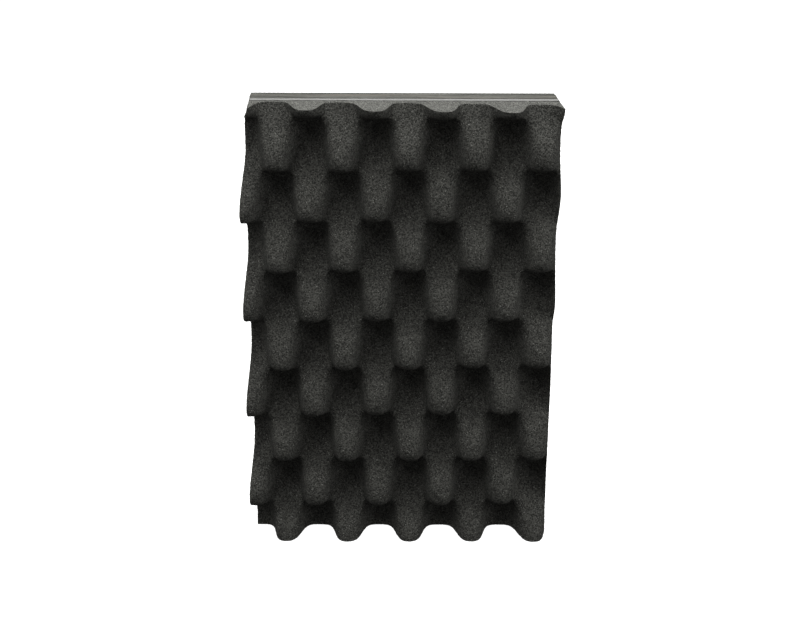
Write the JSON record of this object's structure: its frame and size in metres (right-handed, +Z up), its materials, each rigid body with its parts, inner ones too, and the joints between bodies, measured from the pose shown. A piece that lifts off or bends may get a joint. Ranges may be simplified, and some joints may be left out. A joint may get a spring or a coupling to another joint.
{
  "type": "back protector",
  "caption": "Flat rectangular back protector pad: convoluted open-cell foam with staggered long knobs in front, bonded to a layered flat backing.",
  "frame": {"origin": "middle of the underside of the pad's bounding box, on the surface that the pad's lower end stands on", "axes": "+Z up along the pad's length, X across its width, +Y out of the flat back face; the knobs face -Y"},
  "size_m": [0.1942, 0.0508, 0.3],
  "materials": {
    "skin": "matte",
    "felt": "fibrous",
    "bond_film": "matte",
    "spreader": "satin",
    "foam": "open-cell, matte"
  },
  "bodies": {
    "root": {"back_skin": "skin", "felt_backing": "felt", "rear_bond_film": "bond_film", "spreader_sheet": "spreader", "front_bond_film": "bond_film", "convoluted_foam": "foam"}
  },
  "joints": []
}
